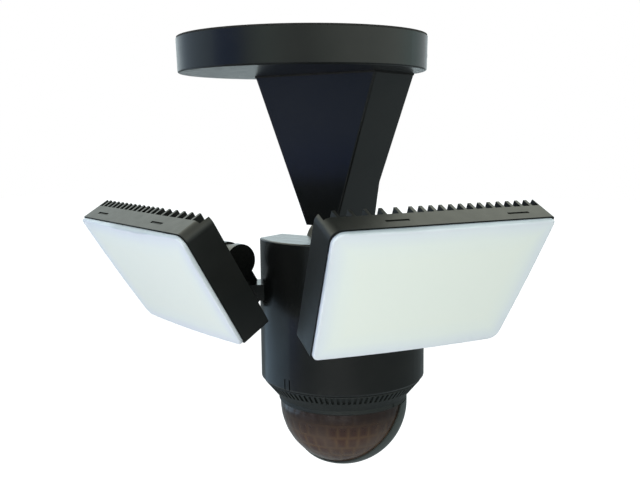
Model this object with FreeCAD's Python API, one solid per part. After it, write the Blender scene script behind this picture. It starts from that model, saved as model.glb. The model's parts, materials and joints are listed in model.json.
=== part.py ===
"""Motion sensor security light with two swivelling lamp heads.

Millimetres. The origin is the centre of the ceiling face, +Z is up and the front is -Y.
Every sub-part is written to parts/NODE.step.
"""
import FreeCAD, Part
import math
import os

V = FreeCAD.Vector
X, Y, Z = V(1, 0, 0), V(0, 1, 0), V(0, 0, 1)

# ---- canopy and mounting plate -----------------------------------------------------------------------
canopy_radius = 65.0
canopy_height = 18.0
canopy_draft = 0.5
canopy_wall = 2.2
canopy_floor = 3.0
canopy_edge = 0.9
gasket_thickness = 1.0
gasket_inset = 0.3
plate_edge_gap = 4.8
plate_thickness = 1.6
plate_centre_hole = 11.0
box_screw_spacing = 88.9
box_screw_radius = 2.4
second_slot_spacing = 70.0
second_slot_length = 11.0
rim_screw_angles = (45.0, 206.0)
rim_screw_radius = 2.0
tab_width = 12.0
tab_height = 12.0
tab_thickness = 3.2
tab_gap = 1.2
ground_screw_x = -26.0
ground_screw_y = -24.0

# ---- screw heads and their drives: radius and height of the head, width and depth of the slot ----
hole_clearance = 0.3
shank_fit = 0.02
shank_gap = 0.2
rim_head_radius = 3.6
rim_head_height = 1.8
ground_head_radius = 4.0
ground_head_height = 2.4
arm_head_radius = 3.8
arm_head_height = 2.2
floor_head_radius = 3.0
floor_head_height = 1.6
drive_width = 1.0
drive_depth = 0.9

# ---- arm ---------------------------------------------------------------------------------------------
arm_seal_thickness = 0.8
arm_top_width = 78.0
arm_top_depth = 41.0
arm_top_y = 29.5
arm_end_width = 20.0
arm_end_front_y = 15.0
arm_end_rear_y = 57.0
arm_kink_rear_y = 49.0
arm_kink_height = 23.0
arm_length = 82.0
arm_wall = 3.0
arm_top_plate = 5.0
arm_edge = 1.2
arm_screw_x = 24.0
arm_screw_y = 13.0
arm_screw_radius = 2.0
wire_hole = 5.0

# ---- hinge between the arm and the body --------------------------------------------------------------
hinge_y = 36.0
hinge_drop = 13.0
hinge_radius = 12.6
hinge_bolt_radius = 3.0
hinge_fit = 0.05
hinge_hex_radius = 5.6
tongue_width = 18.8
washer_thickness = 0.6
side_gap = 0.2
cheek_thickness = 6.0
hinge_head_height = 3.8
hinge_nut_height = 4.2
hinge_thread_end = 0.4
hinge_washer_radius = 9.0

# ---- sensor body -------------------------------------------------------------------------------------
body_radius = 47.0
body_top_drop = 7.0
body_height = 81.6
body_wall = 2.6
body_edge = 1.0
body_foot_chamfer = 1.4
block_half_width = 32.0
block_rear_y = 22.0
step_depth = 28.5
saddle_gap = 1.2
ledge_width = 3.4
ledge_thickness = 2.4
ledge_height = 5.0
floor_thickness = 3.0
floor_gap = 0.35
seal_thickness = 1.0
seal_inset = 0.2
floor_screw_count = 4
floor_screw_circle = 37.5
floor_screw_radius = 1.6
floor_boss_radius = 3.8
floor_boss_height = 9.0
floor_screw_depth = 6.0
floor_sink = 1.8
floor_web = 4.0
hub_radius = 12.0
hub_bore = 9.0
hub_length = 12.0
clip_thickness = 1.2
clip_groove = 1.2
clip_play = 0.05
clip_width = 3.4
clip_opening = 6.0
board_radius = 41.0
board_thickness = 1.6
board_room = 12.6
board_post_circle = 30.0
board_post_radius = 3.0
board_post_angles = (90.0, 210.0, 330.0)
board_part_gap = 2.2
transformer_width = 22.0
transformer_depth = 17.0
transformer_height = 15.0
winding_gap = 3.0
capacitor_radius = 6.0
small_capacitor_radius = 4.0
relay_x = 10.0
relay_width = 15.0
relay_depth = 11.0
fuse_radius = 2.6
fuse_length = 18.0
terminal_width = 24.0
terminal_depth = 9.0
terminal_entry_radius = 1.8
mark_width = 0.8
mark_height = 6.0
mark_depth = 0.6
mark_foot = 0.9
mark_gap_angle = 4.1
mark_turn = -6.6

# ---- sensor ring, collar, dome and shroud ------------------------------------------------------------
running_gap = 0.3
ring_top_radius = 45.4
ring_foot_radius = 37.4
ring_height = 10.2
ring_band = 0.6
ring_wall = 2.4
ring_web = 2.2
ring_web_drop = 0.8
rib_count = 90
rib_slot_width = 1.5
rib_slot_depth = 1.1
rib_slot_height = 4.6
collar_radius = 37.1
collar_height = 2.7
collar_edge = 0.5
collar_lip = 2.5
collar_top = 1.2
dome_drop = 2.0
dome_radius = 36.3
dome_wall = 1.4
dome_fit = 0.05
shroud_gap = 0.2
shroud_wall = 0.8
shroud_offset = 2.9
shroud_slope = 0.61
seam_width = 0.7
seam_depth = 0.5
seam_top_angle = -10.6
seam_foot_angle = -6.0
notch_angle = 80.0
notch_width = 4.0
pir_radius = 4.6
pir_height = 4.2
pir_brim = 0.6
pir_window_width = 3.8
pir_window_height = 3.0
pir_window_depth = 0.3
sensor_board_radius = 21.0

# ---- swivel bosses and necks -------------------------------------------------------------------------
swivel_x = 39.1
swivel_y = -3.95
boss_radius = 9.0
boss_height = 9.0
boss_taper = 8.0
boss_taper_share = 0.45
boss_web = 12.0
stem_radius = 5.0
stem_fit = 0.05
flange_radius = 7.0
flange_thickness = 2.0
swivel_nut_radius = 6.9
swivel_nut_height = 3.2
swivel_washer_radius = 7.0
swivel_washer_thickness = 0.8
washer_room = 0.4
neck_rise = 14.2
neck_reach = 8.0
knuckle_radius = 9.3
knuckle_width = 18.0
lug_width = 8.0
lug_radius = 8.2
lug_gap = 0.2
neck_width = 16.0
tilt_axis_z = -118.3
tilt_bolt_radius = 2.5
tilt_fit = 0.05
tilt_head_radius = 4.6
tilt_head_height = 2.4
tilt_socket_radius = 1.9
tilt_socket_depth = 1.4
tilt_shank_share = 0.65
tilt_hole_share = 0.7
column_front_y = -7.6
column_front_z = -5.0
column_foot_y = -1.4
column_rear_reach = 3.4
column_rear_y = 7.4
column_rear_z = -5.6
column_top_z = 2.0
stem_end = 1.2
fork_gap = 0.6
fork_floor = 1.2
fork_rear_y = 7.0
fork_rear_z = -6.0
fork_foot_y = 3.6
lug_front_drop = 8.6
lug_back_drop = 8.0
lug_top_y = -6.0
lug_top_z = 8.0
lug_root_rise = 14.0

# ---- lamp heads --------------------------------------------------------------------------------------
head_width = 117.4
head_height = 68.1
head_inner_lean = 1.5
head_outer_lean = 14.6
inner_top_corner = 5.0
outer_top_corner = 1.2
outer_foot_corner = 5.0
inner_foot_corner = 2.2
smallest_corner = 0.6
head_solid_depth = 11.2
fin_depth = 5.8
fin_thickness = 1.7
wide_fin_count = 6
fine_fin_count = 13
wide_to_fine_pitch = 1.45
head_back_gap = 18.9
head_rise = 13.6
head_offset = 13.1
pocket_wall = 2.6
pocket_depth = 9.0
lens_inset = 0.35
lens_gasket_thickness = 0.5
lens_gasket_inset = 0.9
lens_edge = 2.2
lens_crown = 1.7
lens_sphere_radius = 1100.0
lens_wall = 2.0
lens_round = 1.2
lens_corner_extra = 0.8
lens_skirt = 5.0
lens_skirt_wall = 1.6
lens_fit = 0.3
latch_width = 12.0
latch_height = 1.6
latch_inner = 34.8
latch_outer = 17.8
latch_depth = 4.4
latch_fit = 0.4
latch_tip = 1.0
led_board_gap = 1.5
led_board_height = 54.0
led_board_thickness = 1.6
led_size = 3.2
led_thickness = 0.8
led_columns = 8
led_rows = 4
left_swivel_angle = -17.4
left_tilt_angle = 30.8
right_swivel_angle = 58.6
right_tilt_angle = 23.9

# ---- levels worked out from the sizes above ----------------------------------------------------------
canopy_floor_z = -canopy_height
arm_top_z = canopy_floor_z - arm_seal_thickness
arm_end_z = canopy_floor_z - arm_length
hinge_z = arm_end_z - hinge_drop
body_top_z = arm_end_z - body_top_drop
body_foot_z = body_top_z - body_height
deck_z = body_top_z - step_depth
ledge_z = body_foot_z + ledge_height
floor_top_z = ledge_z - seal_thickness
floor_foot_z = floor_top_z - floor_thickness
ring_top_z = body_foot_z - running_gap
ring_foot_z = ring_top_z - ring_height
collar_foot_z = ring_foot_z - collar_height
dome_z = collar_foot_z - dome_drop
rib_slot_foot_z = ring_top_z - rib_slot_height
web_top_z = ring_top_z - ring_web_drop
clip_top_z = web_top_z - ring_web - 2 * clip_play
hub_foot_z = floor_foot_z - hub_length
boss_top_z = tilt_axis_z - neck_rise
boss_foot_z = boss_top_z - boss_height
plate_radius = canopy_radius - canopy_wall - plate_edge_gap
board_z = deck_z - body_wall - board_room - board_thickness
saddle_z = hinge_z - hinge_radius - saddle_gap
pocket_half = tongue_width / 2 + washer_thickness + side_gap
cheek_outer = pocket_half + cheek_thickness
parts = {}


# ---- helpers -----------------------------------------------------------------------------------------
def box(x0, x1, y0, y1, z0, z1):
    return Part.makeBox(x1 - x0, y1 - y0, z1 - z0, V(x0, y0, z0))


def rod(radius, start, end):
    """A solid cylinder between two points."""
    along = end.sub(start)
    return Part.makeCylinder(radius, along.Length, start, along)


def disc(radius, z0, z1, x=0.0, y=0.0):
    return rod(radius, V(x, y, z0), V(x, y, z1))


def tube(outer, inner, z0, z1, x=0.0, y=0.0):
    return disc(outer, z0, z1, x, y).cut(disc(inner, z0 - 1, z1 + 1, x, y))


def hexagon(radius, start, end):
    """A hexagonal prism, radius to its corners, between two points."""
    along = end.sub(start)
    corners = [V(radius * math.cos(math.pi / 3 * i), radius * math.sin(math.pi / 3 * i), 0)
               for i in range(7)]
    prism = Part.Face(Part.makePolygon(corners)).extrude(V(0, 0, along.Length))
    prism.Placement = FreeCAD.Placement(start, FreeCAD.Rotation(Z, along))
    return prism


def turned(profile):
    """Spin a closed outline of (radius, z) points about the Z axis."""
    points = [V(r, 0, z) for r, z in profile]
    face = Part.Face(Part.makePolygon(points + points[:1]))
    return face.revolve(V(0, 0, 0), Z, 360)


def slab(profile, x0, x1):
    """Extrude a closed outline of (y, z) points along X."""
    points = [V(x0, y, z) for y, z in profile]
    return Part.Face(Part.makePolygon(points + points[:1])).extrude(V(x1 - x0, 0, 0))


def rectangle(x0, x1, y0, y1, z):
    return Part.makePolygon([V(x0, y0, z), V(x1, y0, z), V(x1, y1, z), V(x0, y1, z), V(x0, y0, z)])


def join(first, *others):
    return first.multiFuse(list(others)).removeSplitter()


def save(name, shape):
    parts[name] = shape
    shape.exportStep("parts/%s.step" % name)
    print(name, "solids", len(shape.Solids), "valid", shape.isValid(), "volume", round(shape.Volume))


def group(shapes):
    return Part.makeCompound(shapes)


# ---- canopy ------------------------------------------------------------------------------------------
def arm_screw_places():
    return [(sx * arm_screw_x, arm_top_y + sy * arm_screw_y) for sx in (-1, 1) for sy in (-1, 1)]


def rim_screw_axes():
    """Start and direction of the two screws through the canopy's rim, both on its rear half."""
    height = -canopy_height / 2
    for angle in rim_screw_angles:
        direction = V(math.cos(math.radians(angle)), math.sin(math.radians(angle)), 0)
        yield V(0, 0, height), direction


def canopy_cover():
    rim_z = -gasket_thickness
    foot_radius = canopy_radius - canopy_draft
    outer = turned([(0, canopy_floor_z), (foot_radius, canopy_floor_z), (canopy_radius, rim_z), (0, rim_z)])
    foot_edge = [e for e in outer.Edges if abs(e.BoundBox.ZMax - canopy_floor_z) < 0.01
                 and abs(e.BoundBox.XMax - foot_radius) < 0.01]
    outer = outer.makeFillet(canopy_edge, foot_edge)
    inner_foot = canopy_floor_z + canopy_floor
    inner = turned([(0, inner_foot), (foot_radius - canopy_wall, inner_foot),
                    (canopy_radius - canopy_wall, rim_z), (canopy_radius - canopy_wall, 1), (0, 1)])
    cover = outer.cut(inner)
    holes = [disc(arm_screw_radius + hole_clearance, canopy_floor_z - 1, inner_foot + 1, x, y)
             for x, y in arm_screw_places()]
    holes.append(disc(wire_hole + 1, canopy_floor_z - 1, inner_foot + 1, 0, arm_top_y))
    holes += [rod(rim_screw_radius + shank_gap, base + d * (canopy_radius - 2 * canopy_wall),
                  base + d * (canopy_radius + 1)) for base, d in rim_screw_axes()]
    return cover.cut(holes)


def canopy_gasket():
    outer = canopy_radius - gasket_inset
    return tube(outer, canopy_radius - canopy_wall + gasket_inset, -gasket_thickness, 0)


def mounting_plate():
    plate = disc(plate_radius, -plate_thickness, 0)
    tabs = []
    tapped = []
    tab_outer = canopy_radius - canopy_wall - tab_gap
    for base, d in rim_screw_axes():
        tab = box(plate_radius - 4, tab_outer, -tab_width / 2, tab_width / 2, -plate_thickness, 0)
        drop = box(tab_outer - tab_thickness, tab_outer, -tab_width / 2, tab_width / 2, -tab_height, 0)
        pair = join(tab, drop)
        pair.rotate(V(0, 0, 0), Z, math.degrees(math.atan2(d.y, d.x)))
        tabs.append(pair)
        tapped.append(rod(rim_screw_radius, base + d * (plate_radius - 8), base + d * canopy_radius))
    plate = join(plate, *tabs)
    holes = [disc(plate_centre_hole, -5, 1)]
    holes += [disc(box_screw_radius, -5, 1, sx * box_screw_spacing / 2, 0) for sx in (-1, 1)]
    for sy in (-1, 1):
        middle = sy * second_slot_spacing / 2
        half = second_slot_length / 2 - box_screw_radius
        slot = box(-box_screw_radius, box_screw_radius, middle - half, middle + half, -5, 1)
        holes += [slot, disc(box_screw_radius, -5, 1, 0, middle - half),
                  disc(box_screw_radius, -5, 1, 0, middle + half)]
    holes.append(disc(rim_screw_radius, -5, 1, ground_screw_x, ground_screw_y))
    return plate.cut(holes + tapped)


def slotted_screw(head_radius, head_height, shank_radius, seat, outward, length):
    """A plain screw: its head stands outward from the seat and its shank goes the other way."""
    head = rod(head_radius, seat, seat + outward * head_height)
    shank = rod(shank_radius - shank_fit, seat - outward * length, seat + outward * (head_height / 2))
    slot = Part.makeBox(3 * head_radius, drive_width, 2 * drive_depth,
                        V(-1.5 * head_radius, -drive_width / 2, -drive_depth))
    slot.Placement = FreeCAD.Placement(seat + outward * head_height, FreeCAD.Rotation(Z, outward))
    return join(head, shank).cut(slot)


def ground_screw():
    seat = V(ground_screw_x, ground_screw_y, -plate_thickness)
    return slotted_screw(ground_head_radius, ground_head_height, rim_screw_radius, seat, Z * -1,
                         plate_thickness)


def canopy_screws():
    screws = []
    for base, d in rim_screw_axes():
        length = canopy_radius - plate_radius + tab_thickness / 2
        screws.append(slotted_screw(rim_head_radius, rim_head_height, rim_screw_radius,
                                    base + d * canopy_radius, d, length))
    return group(screws)


# ---- arm ---------------------------------------------------------------------------------------------
def arm_section(z, shrink=0.0):
    """The arm's rectangle at a height: front and rear faces lean, the sides close in."""
    share = (arm_top_z - z) / (arm_top_z - arm_end_z)
    half = arm_top_width / 2 + (arm_end_width - arm_top_width) / 2 * share - shrink
    top_front = arm_top_y - arm_top_depth / 2
    front = top_front + (arm_end_front_y - top_front) * share + shrink
    top_rear = arm_top_y + arm_top_depth / 2
    kink_z = arm_end_z + arm_kink_height
    if z >= kink_z:
        rear = top_rear + (arm_kink_rear_y - top_rear) * (arm_top_z - z) / (arm_top_z - kink_z)
    else:
        rear = arm_kink_rear_y + (arm_end_rear_y - arm_kink_rear_y) * (kink_z - z) / arm_kink_height
    return rectangle(-half, half, front, rear - shrink, z)


def arm_shell():
    kink_z = arm_end_z + arm_kink_height
    upper = Part.makeLoft([arm_section(arm_top_z), arm_section(kink_z)], True, True)
    lower = Part.makeLoft([arm_section(kink_z), arm_section(arm_end_z)], True, True)
    block = join(upper, lower)
    long_edges = [e for e in block.Edges if e.BoundBox.ZLength > arm_kink_height - 1]
    block = block.makeFillet(arm_edge, long_edges)
    hollow_top = arm_top_z - arm_top_plate
    hollow_foot = arm_end_z + arm_wall
    hollow = Part.makeLoft([arm_section(hollow_top, arm_wall), arm_section(kink_z, arm_wall)], True, True)
    hollow_low = Part.makeLoft([arm_section(kink_z, arm_wall), arm_section(hollow_foot, arm_wall)],
                               True, True)
    half = tongue_width / 2
    tongue = box(-half, half, hinge_y - hinge_radius, hinge_y + hinge_radius, hinge_z, arm_end_z + 1)
    round_end = rod(hinge_radius, V(-half, hinge_y, hinge_z), V(half, hinge_y, hinge_z))
    arm = block.cut([hollow, hollow_low])
    arm = join(arm, tongue, round_end)
    drills = [rod(hinge_bolt_radius + hinge_fit, V(-half - 1, hinge_y, hinge_z),
                  V(half + 1, hinge_y, hinge_z))]
    drills.append(disc(wire_hole / 2, hinge_z - hinge_radius, hollow_foot + 1, 0, hinge_wire_y()))
    drills.append(disc(wire_hole, hollow_top - 1, arm_top_z + 1, 0, arm_top_y))
    drills += [disc(arm_screw_radius, hollow_top - 1, arm_top_z + 1, x, y) for x, y in arm_screw_places()]
    return arm.cut(drills)


def arm_seal():
    outline = rectangle(-arm_top_width / 2, arm_top_width / 2, arm_top_y - arm_top_depth / 2,
                        arm_top_y + arm_top_depth / 2, arm_top_z)
    sheet = Part.Face(outline).extrude(V(0, 0, arm_seal_thickness))
    holes = [disc(arm_screw_radius + hole_clearance, arm_top_z - 1, canopy_floor_z + 1, x, y)
             for x, y in arm_screw_places()]
    holes.append(disc(wire_hole + 1, arm_top_z - 1, canopy_floor_z + 1, 0, arm_top_y))
    return sheet.cut(holes)


def arm_screws():
    head_foot = canopy_floor_z + canopy_floor
    screws = []
    for x, y in arm_screw_places():
        screws.append(slotted_screw(arm_head_radius, arm_head_height, arm_screw_radius, V(x, y, head_foot), Z,
                                    head_foot - arm_top_z + arm_top_plate))
    return group(screws)


# ---- hinge -------------------------------------------------------------------------------------------
def hinge_bolt():
    reach = cheek_outer + hinge_nut_height + hinge_thread_end
    shank = rod(hinge_bolt_radius, V(-reach, hinge_y, hinge_z), V(cheek_outer, hinge_y, hinge_z))
    head = hexagon(hinge_hex_radius, V(cheek_outer, hinge_y, hinge_z),
                   V(cheek_outer + hinge_head_height, hinge_y, hinge_z))
    return join(shank, head)


def hinge_nut():
    start = -cheek_outer - hinge_nut_height
    nut = hexagon(hinge_hex_radius, V(start, hinge_y, hinge_z), V(-cheek_outer, hinge_y, hinge_z))
    hole = rod(hinge_bolt_radius, V(start - 1, hinge_y, hinge_z), V(-cheek_outer + 1, hinge_y, hinge_z))
    return nut.cut(hole)


def hinge_washers():
    half = tongue_width / 2
    washers = []
    for side in (-1, 1):
        inner = V(side * half, hinge_y, hinge_z)
        outer = V(side * (half + washer_thickness), hinge_y, hinge_z)
        ring = rod(hinge_washer_radius, inner, outer)
        washers.append(ring.cut(rod(hinge_bolt_radius + shank_gap, inner - X * 2, outer + X * 2)))
    return group(washers)


# ---- body --------------------------------------------------------------------------------------------
def body_disc(radius, z0, z1):
    return disc(radius, z0, z1, 0, hinge_y)


def stepped(radius, half_width, top_z, low_z, wall_y, foot_z):
    """A cylinder of full height only in a block at the front, so that the arm can swing over the rest."""
    tall = body_disc(radius, foot_z, top_z)
    size = 2 * radius
    rear = box(-size, size, wall_y, hinge_y + size, low_z, top_z + 1)
    sides = [box(x0, x1, hinge_y - size, hinge_y + size, low_z, top_z + 1)
             for x0, x1 in ((-size, -half_width), (half_width, size))]
    return tall.cut([rear] + sides)


def swivel_boss(side):
    x, y = side * swivel_x, swivel_y
    post = disc(boss_radius, boss_foot_z, boss_top_z, x, y)
    taper = Part.makeCone(boss_radius * boss_taper_share, boss_radius, boss_taper,
                          V(x, y, boss_foot_z - boss_taper), Z)
    inward = V(-x, hinge_y - y, 0).normalize()
    web = box(0, boss_web, -boss_radius, boss_radius, boss_foot_z, boss_top_z)
    web.rotate(V(0, 0, 0), Z, math.degrees(math.atan2(inward.y, inward.x)))
    web.translate(V(x, y, 0))
    return [post, taper, web]


def floor_screw_places():
    for i in range(floor_screw_count):
        angle = math.radians(45 + 360.0 * i / floor_screw_count)
        yield floor_screw_circle * math.cos(angle), hinge_y + floor_screw_circle * math.sin(angle)


def hinge_saddle():
    """Pedestal and two cheeks that stand on the body's deck and hold the arm's tongue."""
    front, rear = hinge_y - hinge_radius, hinge_y + hinge_radius
    pieces = [box(-cheek_outer, cheek_outer, block_rear_y - 1, rear, deck_z - 1, saddle_z)]
    for side in (-1, 1):
        x0, x1 = sorted((side * pocket_half, side * cheek_outer))
        pieces.append(rod(hinge_radius, V(x0, hinge_y, hinge_z), V(x1, hinge_y, hinge_z)))
        pieces.append(box(x0, x1, front, rear, saddle_z - 1, hinge_z))
    return pieces


def body_hollow():
    """The space inside the body, with the hollow under the hinge pedestal."""
    inner = stepped(body_radius - body_wall, block_half_width - body_wall, body_top_z - body_wall,
                    deck_z - body_wall, block_rear_y - body_wall, body_foot_z - 1)
    half = cheek_outer - body_wall
    under_saddle = box(-half, half, block_rear_y - body_wall - 1, hinge_y + hinge_radius - body_wall,
                       deck_z - body_wall - 1, saddle_z - body_wall)
    return [inner, under_saddle]


def floor_seats():
    """Ledge that the floor's seal lies on, and the webbed posts that its screws go into."""
    inner_radius = body_radius - body_wall
    top = ledge_z + floor_boss_height
    seats = [tube(inner_radius + body_wall / 4, inner_radius - ledge_width, ledge_z,
                  ledge_z + ledge_thickness, 0, hinge_y)]
    for x, y in floor_screw_places():
        seats.append(disc(floor_boss_radius, ledge_z, top, x, y))
        reach = body_radius - floor_screw_circle - body_wall / 2
        web = box(0, reach, -floor_web / 2, floor_web / 2, ledge_z, top)
        web.rotate(V(0, 0, 0), Z, math.degrees(math.atan2(y - hinge_y, x)))
        web.translate(V(x, y, 0))
        seats.append(web)
    return seats


def body_marks():
    """Two short upright grooves at the foot of the body's front."""
    marks = []
    for side in (-1, 1):
        mark = box(body_radius - mark_depth, body_radius + 1, -mark_width / 2, mark_width / 2,
                   body_foot_z + mark_foot, body_foot_z + mark_foot + mark_height)
        mark.rotate(V(0, 0, 0), Z, -90 + mark_turn + side * mark_gap_angle / 2)
        mark.translate(V(0, hinge_y, 0))
        marks.append(mark)
    return marks


def hinge_wire_y():
    """Where the lamp wires pass in front of the hinge bolt."""
    return hinge_y - hinge_radius / 2 - hinge_bolt_radius / 2


def body_shell():
    outer = stepped(body_radius, block_half_width, body_top_z, deck_z, block_rear_y, body_foot_z)
    rims = [e for e in outer.Edges if abs(e.BoundBox.ZMax - e.BoundBox.ZMin) < 0.01
            and abs(e.BoundBox.ZMax - body_top_z) < 0.01]
    outer = outer.makeFillet(body_edge, rims)
    foot = [e for e in outer.Edges if abs(e.BoundBox.ZMax - body_foot_z) < 0.01]
    outer = outer.makeChamfer(body_foot_chamfer, foot)
    bosses = swivel_boss(-1) + swivel_boss(1)
    shell = join(outer, *(bosses + hinge_saddle())).cut(body_hollow())
    shell = join(shell, *floor_seats())
    bolt = rod(hinge_bolt_radius + hinge_fit, V(-cheek_outer - 1, hinge_y, hinge_z),
               V(cheek_outer + 1, hinge_y, hinge_z))
    cuts = [bolt, disc(wire_hole / 2, saddle_z - body_wall - 1, saddle_z + 1, 0, hinge_wire_y())]
    for side in (-1, 1):
        cuts.append(disc(stem_radius + stem_fit, boss_foot_z - boss_taper - 1, boss_top_z + 1,
                         side * swivel_x, swivel_y))
        cuts.append(disc(swivel_washer_radius + washer_room, boss_foot_z - boss_taper - 1, boss_foot_z,
                         side * swivel_x, swivel_y))
    cuts += [disc(floor_screw_radius, ledge_z - 1, ledge_z + floor_boss_height - body_wall, x, y)
             for x, y in floor_screw_places()]
    return shell.cut(cuts + body_marks())


def body_floor():
    plate = body_disc(body_radius - body_wall - floor_gap, floor_foot_z, floor_top_z)
    hub = body_disc(hub_radius, hub_foot_z, floor_foot_z + 1)
    posts = [disc(board_post_radius, floor_top_z - 1, board_z, board_post_circle * math.cos(math.radians(a)),
                  hinge_y + board_post_circle * math.sin(math.radians(a))) for a in board_post_angles]
    plate = join(plate, hub, *posts)
    cuts = [body_disc(hub_bore, hub_foot_z - 1, floor_top_z + 1)]
    cuts.append(tube(hub_radius + 1, hub_radius - clip_groove, clip_top_z - clip_thickness - clip_play,
                     clip_top_z + clip_play, 0, hinge_y))
    for x, y in floor_screw_places():
        cuts.append(disc(floor_screw_radius + shank_gap, floor_foot_z - 1, floor_top_z + 1, x, y))
        cuts.append(disc(floor_head_radius + shank_gap, floor_foot_z - 1, floor_foot_z + floor_sink, x, y))
    return plate.cut(cuts)


def hub_clip():
    """Open ring in the hub's groove that holds the turning ring up."""
    outer = hub_radius + clip_width
    foot_z = clip_top_z - clip_thickness
    ring = tube(outer, hub_radius - clip_groove + clip_play, foot_z, clip_top_z, 0, hinge_y)
    half = clip_opening / 2
    return ring.cut(box(-half, half, hinge_y, hinge_y + 2 * outer, foot_z - 1, clip_top_z + 1))


def body_seal():
    inner_radius = body_radius - body_wall
    ring = tube(inner_radius - floor_gap, inner_radius - ledge_width + seal_inset, floor_top_z, ledge_z,
                0, hinge_y)
    reliefs = [disc(floor_boss_radius + seal_inset, floor_top_z - 1, ledge_z + 1, x, y)
               for x, y in floor_screw_places()]
    return ring.cut(reliefs)


def floor_screws():
    screws = []
    for x, y in floor_screw_places():
        seat = V(x, y, floor_foot_z + floor_sink)
        screws.append(slotted_screw(floor_head_radius, floor_head_height, floor_screw_radius, seat, Z * -1,
                                    ledge_z + floor_screw_depth - seat.z))
    return group(screws)


def driver_board():
    board = body_disc(board_radius, board_z, board_z + board_thickness)
    notches = [disc(floor_boss_radius + 1, board_z - 1, board_z + board_thickness + 1, x, y)
               for x, y in floor_screw_places()]
    return board.cut(notches)


def driver_parts():
    """Transformer, capacitors, relay, fuse and terminal block, the tall ones under the front block."""
    top = board_z + board_thickness
    front_y = block_rear_y - body_wall - board_part_gap
    tall = board_room + step_depth - 2 * board_part_gap
    low = board_room - board_part_gap
    x0, x1 = -transformer_width / 2, transformer_width / 2
    y0, y1 = front_y - transformer_depth, front_y
    core = box(x0, x1, y0, y1, top, top + transformer_height)
    windows = [box(x - winding_gap / 2, x + winding_gap / 2, y0 - 1, y1 + 1, top + winding_gap,
                   top + transformer_height - winding_gap) for x in (x0 / 2, x1 / 2)]
    core = core.cut(windows)
    beside = x1 + board_part_gap + capacitor_radius
    tall_capacitor = disc(capacitor_radius, top, top + tall, -beside, front_y - capacitor_radius)
    small_capacitor = disc(small_capacitor_radius, top, top + low, beside, front_y - capacitor_radius)
    relay_y = front_y + board_part_gap
    relay = box(relay_x, relay_x + relay_width, relay_y, relay_y + relay_depth, top, top + low)
    fuse_y = hinge_y + fuse_length / 2
    fuse_end = V(-relay_x, fuse_y, top + fuse_radius)
    fuse = rod(fuse_radius, fuse_end - X * fuse_length, fuse_end)
    rear_y = hinge_y + board_radius - board_part_gap
    half = terminal_width / 2
    terminal = box(-half, half, rear_y - terminal_depth, rear_y, top, top + low)
    entries = [disc(terminal_entry_radius, top + low / 2, top + low + 1, x * terminal_width / 3,
                    rear_y - terminal_depth / 2) for x in (-1, 0, 1)]
    return group([core, tall_capacitor, small_capacitor, relay, fuse, terminal.cut(entries)])


# ---- sensor ------------------------------------------------------------------------------------------
def ring_radius_at(z):
    """Outer radius of the ring's cone at a height."""
    share = (ring_top_z - ring_band - z) / (ring_height - ring_band)
    return ring_top_radius + (ring_foot_radius - ring_top_radius) * share


def around(angle, radius, z):
    """A point on the sensor's outside; the angle is counted from the front towards +X."""
    turn = math.radians(angle)
    return V(radius * math.sin(turn), -radius * math.cos(turn), z)


def seam_cutter():
    """A thin slanting bar that cuts the seam over the ring's smooth band and the collar."""
    top_z = rib_slot_foot_z + seam_width
    start = around(seam_top_angle, ring_radius_at(top_z), top_z)
    end = around(seam_foot_angle, collar_radius, collar_foot_z - seam_width)
    along = end.sub(start)
    outward = around((seam_top_angle + seam_foot_angle) / 2, 1, 0)
    across = along.cross(outward).normalize()
    bar = Part.makePolygon([start + across * w + outward * d for w, d in
                            ((-seam_width / 2, -seam_depth), (seam_width / 2, -seam_depth),
                             (seam_width / 2, 4), (-seam_width / 2, 4), (-seam_width / 2, -seam_depth))])
    return Part.Face(bar).extrude(along)


def notch_cutters():
    """Upright recesses at both sides of the collar, beside the edges of the shroud."""
    cutters = []
    for angle in (-notch_angle, notch_angle):
        cutter = box(-notch_width / 2, notch_width / 2, -collar_radius - 1, seam_depth - collar_radius,
                     collar_foot_z - 1, ring_foot_z - collar_edge)
        cutter.rotate(V(0, 0, 0), Z, angle)
        cutters.append(cutter)
    return cutters


def sensor_ring():
    web_top = web_top_z
    slope = (ring_top_radius - ring_foot_radius) / ring_height
    inner_top = ring_top_radius - ring_wall - slope * ring_web_drop
    inner_low = ring_foot_radius - ring_wall
    bore = hub_radius + hinge_fit
    ring = turned([(bore, web_top), (inner_top, web_top), (inner_top + slope / 4, ring_top_z),
                   (ring_top_radius, ring_top_z), (ring_top_radius, ring_top_z - ring_band),
                   (ring_foot_radius, ring_foot_z), (inner_low, ring_foot_z),
                   (inner_top - slope * (ring_web + ring_web_drop), web_top - ring_web),
                   (bore, web_top - ring_web)])
    lean = math.degrees(math.atan2(ring_top_radius - ring_foot_radius, ring_height - ring_band))
    slot_length = rib_slot_height / math.cos(math.radians(lean))
    cutters = []
    for i in range(rib_count):
        cutter = box(-rib_slot_depth, 4, -rib_slot_width / 2, rib_slot_width / 2, -slot_length, 0)
        cutter.rotate(V(0, 0, 0), Y, lean)
        cutter.translate(V(ring_top_radius, 0, ring_top_z - ring_band))
        cutter.rotate(V(0, 0, 0), Z, 360.0 * i / rib_count)
        cutters.append(cutter)
    ring = ring.cut(group(cutters)).cut(seam_cutter())
    ring.translate(V(0, hinge_y, 0))
    return ring


def sensor_collar():
    inner = dome_radius + dome_fit
    low = ring_foot_radius - ring_wall - collar_lip
    collar = turned([(low, ring_foot_z), (collar_radius, ring_foot_z),
                     (collar_radius, collar_foot_z + collar_edge),
                     (collar_radius - collar_edge, collar_foot_z), (inner, collar_foot_z),
                     (inner, ring_foot_z - collar_top), (low, ring_foot_z - collar_top)])
    collar = collar.cut(notch_cutters() + [seam_cutter()])
    collar.translate(V(0, hinge_y, 0))
    return collar


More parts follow.
